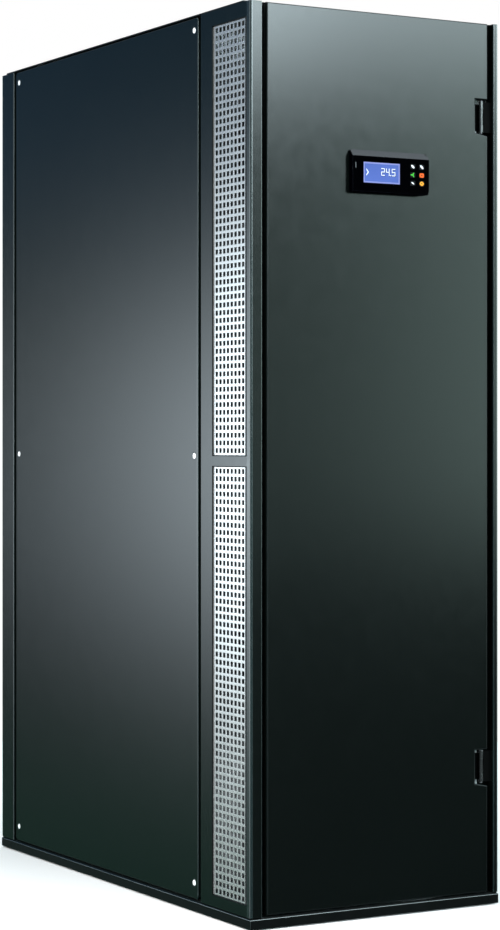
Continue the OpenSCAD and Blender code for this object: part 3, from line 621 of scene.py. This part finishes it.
# the door's rounded rim takes the painted shade copy of the paint
o = pan("front_door_skin_sheet", "case_coat", "front_door", door_outline(), lambda u, v, w: (u, -HD + w, v),
        20.0, 1.5, 2.5, node="front_door_skin", edge="edge_painted_shade")
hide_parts("front_door_skin")
slots = [(-200 + 38 + c * 17, 130 + r * 162, -200 + 38 + c * 17 + 9, 130 + r * 162 + 140)
         for c in range(22) for r in range(10)]
o = pan("rear_door_sheet", "case_coat", BODY["rear_door"], door_outline(), lambda u, v, w: (-u, HD - w, v),
        20.0, 1.5, 2.5, slots=slots, node="rear_door")
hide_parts("rear_door")

# ------------------------------------------------------------------ the rest, from the CAD
BEV = {"base_frame": 0.8, "floor_pan": 0.4, "roof_panel": 0.7, "side_panel_screws": 0.35, "fan_bulkhead": 0.5,
       "fan_shrouds": 0.5, "fan_guards": 0.3, "fan_motors": 0.8, "coil_core": 0.0, "coil_headers": 0.3,
       "coil_end_plates": 0.3, "drip_tray": 0.3, "condensate_pump": 2.0, "condensate_pipe": 0.3, "electrical_box": 0.6,
       "electrical_box_cover": 0.5, "circuit_breakers": 0.8, "control_board": 0.3, "main_switch": 0.9,
       "supply_pipe": 0.4, "return_pipe": 0.4, "control_valve": 1.0, "cable_glands": 0.6, "hinge_brackets": 0.5,
       "hinge_pins": 0.5, "door_magnets": 0.6, "filter_rails": 0.3, "front_door_inner_panel": 0.4,
       "front_door_gasket": 1.2, "front_door_hinge_leaves": 0.5, "controller_housing": 0.7,
       "key_alarm": 0.5, "key_program": 0.5, "key_escape": 0.5, "key_up": 0.5, "key_enter": 0.5, "key_down": 0.5,
       "rear_door_hinge_leaves": 0.5, "rear_door_latch": 1.5, "fan_impeller_lower": 0.8, "fan_impeller_middle": 0.8,
       "fan_impeller_upper": 0.8, "filter_frame": 0.4, "filter_media": 0.0, "main_switch_knob": 1.4,
       "levelling_foot_front_left": 0.5, "levelling_foot_front_right": 0.5, "levelling_foot_rear_left": 0.5,
       "levelling_foot_rear_right": 0.5, "display_screen": 0.3}
# the base frame's rounded edges take the painted highlight
LOOK = {"base_frame": {"edge": "edge_painted_highlight"},
        "roof_panel": {"paint": "roof_coat", "paint_if": lambda v: v.z > 0.9},
        # the controller's upward faces and rounded edges take the painted highlight
        "controller_housing": {"paint": "bezel_painted_highlight", "paint_if": lambda v: v.z > 0.3, "edge": "bezel_painted_highlight"},
        # the curved faces of the hinge parts take the painted highlight
        "front_door_hinge_leaves": {"paint": "barrel_painted_highlight", "paint_if": lambda v: max(abs(v.x), abs(v.y), abs(v.z)) < 0.995},
        "hinge_brackets": {"paint": "barrel_painted_highlight", "paint_if": lambda v: max(abs(v.x), abs(v.y), abs(v.z)) < 0.995}}
LOOK.update({n: {"front": -HD - 14.85, "paint": "key_mask", "paint_if": lambda v: v.y > -0.9, "edge": "key_mask"}
             for n in BEV if n.startswith("key_")})
for n, w in BEV.items():
    adopt(n, w, **LOOK.get(n, {}))
for n in ("hinge_pins",):
    bpy.data.objects[n + "_body"].data.materials[0] = MATS["pin_steel"]

# ------------------------------------------------------------------ display and keys
LX, LZ = 0.5, 1518.0
YS = -HD - 14 + 1.2       # front of the screen


def plate(name, slot, body, pts, y0, y1, bevel=0.0):
    """A flat piece on the door: outline (x, z) counterclockwise from the front, from y1 back to y0."""
    if area(pts) < 0:
        pts = pts[::-1]
    bm = bmesh.new()
    a = [bm.verts.new(Vector((x, y1, z)) * MM) for x, z in pts]
    b = [bm.verts.new(Vector((x, y0, z)) * MM) for x, z in pts]
    bm.faces.new(a)
    bm.faces.new(b[::-1])
    n = len(a)
    for i in range(n):
        bm.faces.new((a[i], b[i], b[(i + 1) % n], a[(i + 1) % n]))
    return finish_mesh(name, bm, slot, body, None, bevel)


def rect(x0, z0, x1, z1):
    return [(x0, z0), (x1, z0), (x1, z1), (x0, z1)]


def many(name, slot, body, shapes, y0, y1):
    bm = bmesh.new()
    for pts in shapes:
        if area(pts) < 0:
            pts = pts[::-1]
        a = [bm.verts.new(Vector((x, y1, z)) * MM) for x, z in pts]
        b = [bm.verts.new(Vector((x, y0, z)) * MM) for x, z in pts]
        bm.faces.new(a)
        bm.faces.new(b[::-1])
        n = len(a)
        for i in range(n):
            bm.faces.new((a[i], b[i], b[(i + 1) % n], a[(i + 1) % n]))
    return finish_mesh(name, bm, slot, body, None)


# lighter rim round the lit area: four bars just proud of the screen
w, h, k = 88.0, 42.0, 3.0
many("display_rim", "screen_rim", "front_door", [
    rect(LX - w / 2, LZ - h / 2, LX + w / 2, LZ - h / 2 + k), rect(LX - w / 2, LZ + h / 2 - k, LX + w / 2, LZ + h / 2),
    rect(LX - w / 2, LZ - h / 2 + k, LX - w / 2 + k, LZ + h / 2 - k),
    rect(LX + w / 2 - k, LZ - h / 2 + k, LX + w / 2, LZ + h / 2 - k)], YS + 0.2, YS - 0.12)
SEG = {"0": "abcdef", "1": "bc", "2": "abged", "3": "abgcd", "4": "fgbc", "5": "afgcd", "6": "afgedc", "7": "abc",
       "8": "abcdefg", "9": "abcfgd"}


def digit(ch, x, z, w, h, s):
    m = z + h / 2
    q = {"a": rect(x, z + h - s, x + w, z + h), "d": rect(x, z, x + w, z + s), "g": rect(x, m - s / 2, x + w, m + s / 2),
         "f": rect(x, m, x + s, z + h), "b": rect(x + w - s, m, x + w, z + h), "e": rect(x, z, x + s, m),
         "c": rect(x + w - s, z, x + w, m)}
    return [q[c] for c in SEG[ch]]


def reading(dx, dz):
    out = []
    x = LX - 1.0
    for ch in "24":
        out += digit(ch, x + dx, LZ - 5 + dz, 8.5, 15, 1.6)
        x += 11.5
    out.append(rect(x - 1.4 + dx, LZ - 5 + dz, x + 0.6 + dx, LZ - 3.0 + dz))
    x += 2.6
    out += digit("5", x + dx, LZ - 5 + dz, 8.5, 15, 1.6)
    return out


many("display_digits", "ink", "front_door", reading(0, 0), YS + 0.2, YS - 0.16)
many("display_digit_shadow", "ink_shadow", "front_door", reading(1.4, -1.2), YS + 0.2, YS - 0.08)
many("display_mark", "ink", "front_door", [
    [(LX - 37, LZ + 8), (LX - 31.5, LZ + 1.4), (LX - 31.5, LZ - 0.4), (LX - 37, LZ - 7.0), (LX - 37, LZ - 4.4), (LX - 33.6, LZ + 0.5), (LX - 37, LZ + 5.4)]],
    YS + 0.2, YS - 0.12)
many("controller_status_light", "ink_dim", "front_door", [rect(-62.8, 1526.0, -61.9, 1537.0)], -HD - 13.5, -HD - 14.12)

# symbols on the keys, a tenth of a millimetre proud
KY = -HD - 14.84
keys = {"alarm": (75, 1535), "program": (97, 1535), "escape": (75, 1518), "up": (97, 1518), "enter": (75, 1501),
        "down": (97, 1501)}


def sym(key, slot, shapes):
    cx, cz = keys[key]
    many("key_%s_symbol" % key, slot, key + "_key",
         [[(cx + x, cz + z) for x, z in s] for s in shapes], KY + 0.1, KY - 0.10)


def circle(x, z, r, n=20):
    return [(x + r * math.cos(2 * math.pi * i / n), z + r * math.sin(2 * math.pi * i / n)) for i in range(n)]


def radial(r, n=48):
    return [(r(2 * math.pi * i / n) * math.cos(2 * math.pi * i / n), r(2 * math.pi * i / n) * math.sin(2 * math.pi * i / n))
            for i in range(n)]


def mask(key, shape):
    """Opaque key top, open where the light shows through."""
    cx, cz = keys[key]
    outer = radial(lambda t: ((abs(math.cos(t)) / 6.0) ** 5 + (abs(math.sin(t)) / 5.0) ** 5) ** -0.2)
    bm = bmesh.new()
    loops = [[bm.verts.new(Vector((cx + x, y, cz + z)) * MM) for x, z in pts]
             for pts, y in ((outer, KY + 0.1), (outer, KY - 0.12), (shape, KY - 0.12), (shape, KY + 0.1))]
    for a, b in zip(loops, loops[1:] + loops[:1]):
        for i in range(len(a)):
            j = (i + 1) % len(a)
            bm.faces.new((a[i], a[j], b[j], b[i]))
    finish_mesh("key_%s_mask" % key, bm, "key_mask", key + "_key", None)


def dash(length, width, tilt, n=48):
    def r(t):
        u = t - math.radians(tilt)
        return ((abs(math.cos(u)) / length) ** 2 + (abs(math.sin(u)) / width) ** 2) ** -0.5
    return radial(r, n)


mask("alarm", dash(4.8, 2.5, -38))
mask("program", dash(5.2, 2.5, -42))
mask("enter", dash(4.0, 1.5, -30))
mask("escape", radial(lambda t: 4.0 / (1.0 + 0.55 * math.cos(3 * t)) * 0.66))
mask("up", radial(lambda t: ((abs(math.cos(t)) / 5.5) ** 4 + (abs(math.sin(t)) / 4.65) ** 4) ** -0.25))
mask("down", radial(lambda t: ((abs(math.cos(t)) / 5.6) ** 1.5 + (abs(math.sin(t)) / 4.75) ** 1.5) ** (-1 / 1.5)))
sym("up", "key_dark", [[(-1.9, -1.2), (1.9, -1.2), (0, 1.6)]])
sym("down", "key_dark", [[(-1.6, 0.9), (0, -1.4), (1.6, 0.9)]])

# ------------------------------------------------------------------ floor, light, camera
bm = bmesh.new()
bmesh.ops.create_circle(bm, cap_ends=True, radius=2.6, segments=96)
me = bpy.data.meshes.new("floor")
bm.to_mesh(me)
bm.free()
floor = bpy.data.objects.new("floor", me)
COL.objects.link(floor)
surface("floor_paint", (0.80, 0.765, 0.75), 0.75, grain=0.15, grain_mm=6.0, rvar=0.05, cvar=0.01)
me.materials.append(MATS["floor_paint"])
floor.visible_glossy = False

world = bpy.data.worlds.new("studio")
bpy.context.scene.world = world
world.use_nodes = True
wt = world.node_tree
wt.nodes.clear()


def wm(op, *vals, clamp=False):
    n = wt.nodes.new("ShaderNodeMath")
    n.operation = op
    n.use_clamp = clamp
    for i, v in enumerate(vals):
        if isinstance(v, (int, float)):
            n.inputs[i].default_value = v
        else:
            wt.links.new(v, n.inputs[i])
    return n.outputs[0]


def wstep(src, a, b, lo, hi):
    n = wt.nodes.new("ShaderNodeMapRange")
    n.interpolation_type = "SMOOTHSTEP"
    n.inputs[1].default_value, n.inputs[2].default_value = a, b
    n.inputs[3].default_value, n.inputs[4].default_value = lo, hi
    wt.links.new(src, n.inputs[0])
    return n.outputs[0]


wc = wt.nodes.new("ShaderNodeTexCoord")
ws = wt.nodes.new("ShaderNodeSeparateXYZ")
wt.links.new(wc.outputs["Generated"], ws.inputs[0])
dx, dy, dz = ws.outputs


def toward(az):
    """Cosine of the angle between a direction and the compass bearing az, in plan."""
    return wm("ADD", wm("MULTIPLY", dx, math.sin(math.radians(az))), wm("MULTIPLY", dy, math.cos(math.radians(az))))


def wsum(terms):
    """Adds (value, colour) pairs into one background."""
    total = None
    for val, c in terms:
        n = wt.nodes.new("ShaderNodeVectorMath")
        n.operation = "SCALE"
        n.inputs[0].default_value = c
        wt.links.new(val, n.inputs["Scale"])
        if total is None:
            total = n.outputs[0]
        else:
            s = wt.nodes.new("ShaderNodeVectorMath")
            s.operation = "ADD"
            wt.links.new(total, s.inputs[0])
            wt.links.new(n.outputs[0], s.inputs[1])
            total = s.outputs[0]
    return total


# a dim room, brighter overhead
room = wstep(dz, 0.25, 0.9, 0.07, 0.55)
room = wm("MULTIPLY", room, wstep(dz, -0.12, -0.02, 0.16, 1.0))
# a bright band of ceiling ahead on the right
ahead = wstep(toward(142.0), 0.25, 0.85, 0.0, 1.0)
band = wm("MULTIPLY", wstep(dz, 0.122, 0.188, 0.0, 1.0), wstep(dz, 0.24, 0.50, 1.0, 0.10))
ceiling = wm("MULTIPLY", wm("MULTIPLY", band, ahead), 7.0)
ceiling = wm("MULTIPLY", ceiling, wm("MULTIPLY", wstep(toward(90.0), 0.493, 0.522, 1.75, 1.0), wstep(toward(90.0), 0.50, 0.58, 1.22, 1.0)))
# a pale strip of wall to the left, which lights the rounded corners
glow = wm("EXPONENT", wm("MULTIPLY", wm("POWER", wm("DIVIDE", wm("ADD", dz, 0.01), 0.095), 2.0), -0.5))
left = wm("MULTIPLY", wstep(toward(-68.0), 0.88, 0.97, 0.0, 1.0), wm("ADD", wm("MULTIPLY", glow, 4.2), wstep(dz, -0.16, -0.08, 0.05, 0.5)))
# colour bounced on to the side, greener low down and bluer high up
flank = wstep(toward(-28.0), 0.60, 0.90, 0.0, 1.0)
low = wm("MULTIPLY", wm("MULTIPLY", flank, wstep(dz, -0.17, -0.06, 1.0, 0.0)), 0.10)
high = wm("MULTIPLY", wm("MULTIPLY", flank, wstep(dz, 0.03, 0.13, 0.0, 1.0)), 0.11)
# the wall under it
wall = wm("MULTIPLY", wm("MULTIPLY", wstep(dz, -0.070, -0.008, 0.0, 1.0), wstep(dz, 0.16, 0.24, 1.0, 0.0)), ahead)
wall = wm("MULTIPLY", wall, wstep(toward(90.0), 0.50, 0.62, 0.46, 2.65))
# a soft window behind on the left
wu = toward(-33.4 + 90.0)
bell = wm("ADD", wm("POWER", wm("DIVIDE", wu, 0.066), 2.0), wm("POWER", wm("DIVIDE", wm("SUBTRACT", dz, -0.008), 0.0525), 2.0))
window = wm("MULTIPLY", wm("MULTIPLY", wm("EXPONENT", wm("MULTIPLY", bell, -0.5)), wm("GREATER_THAN", toward(-33.4), 0.0)), 5.4)
# its pair on the far side, for the views from there
wu2 = toward(-35.0 + 270.0 + 100.0)
bell2 = wm("ADD", wm("POWER", wm("DIVIDE", wu2, 0.30), 2.0), wm("POWER", wm("DIVIDE", wm("SUBTRACT", dz, 0.02), 0.16), 2.0))
window2 = wm("MULTIPLY", wm("MULTIPLY", wm("EXPONENT", wm("MULTIPLY", bell2, -0.5)), wm("GREATER_THAN", toward(-35.0 + 100.0), 0.0)), 3.6)

wo = wt.nodes.new("ShaderNodeOutputWorld")
cam_bg = wt.nodes.new("ShaderNodeBackground")
cam_bg.inputs[0].default_value = (1.0, 1.0, 1.0, 1)
cam_bg.inputs[1].default_value = 1.0
amb = wt.nodes.new("ShaderNodeBackground")
wt.links.new(wsum([(room, (0.55, 1.0, 1.15)), (low, (0.32, 1.15, 0.80)), (high, (0.0, 0.35, 1.0)), (left, (0.93, 1.0, 1.05)), (ceiling, (0.90, 1.08, 1.14)), (wall, (0.72, 1.0, 0.93)),
                   (window, (0.86, 0.985, 1.065)), (window2, (0.95, 1.0, 1.03))]), amb.inputs[0])
amb.inputs[1].default_value = 1.0
lp = wt.nodes.new("ShaderNodeLightPath")
mx = wt.nodes.new("ShaderNodeMixShader")
wt.links.new(lp.outputs["Is Camera Ray"], mx.inputs[0])
wt.links.new(amb.outputs[0], mx.inputs[1])
wt.links.new(cam_bg.outputs[0], mx.inputs[2])
wt.links.new(mx.outputs[0], wo.inputs[0])


def lamp(name, pos, target, w, h, radiance, color=(1, 1, 1)):
    d = bpy.data.lights.new(name, "AREA")
    d.shape = "RECTANGLE"
    d.size, d.size_y = w, h
    d.energy = radiance * math.pi * w * h
    d.color = color
    o = bpy.data.objects.new(name, d)
    COL.objects.link(o)
    o.location = pos
    o.rotation_euler = (Vector(target) - Vector(pos)).to_track_quat("-Z", "Y").to_euler()
    return o


# a tall soft box on the left, for the grille and the cabinet's front corner
for o in (lamp("left_box", (-5.0, -1.5, 1.6), (-0.3, -0.5, 1.1), 2.6, 3.4, 10.0),
          lamp("side_box", (-1.35, -1.15, 0.90), (-0.3, -0.52, 0.90), 0.8, 0.8, 22.0)):
    o.visible_glossy = False
    o.visible_camera = False
lamp("top_box", (0.4, -0.3, 4.8), (0.4, -0.3, 0), 6.0, 6.0, 1.5)
lamp("rear_box", (2.6, 4.6, 2.8), (0, 0.4, 1.0), 2.4, 2.2, 3.0)

cam = bpy.data.cameras.new("camera")
cam.lens = 96.62
cam.sensor_width = 36
cam.shift_y = -0.026
co = bpy.data.objects.new("camera", cam)
COL.objects.link(co)
co.location = (-2.756, -4.890, 0.973)
co.rotation_euler = (math.radians(90), 0, math.radians(-29.78))
bpy.context.scene.camera = co
bpy.context.scene.view_settings.view_transform = "Standard"
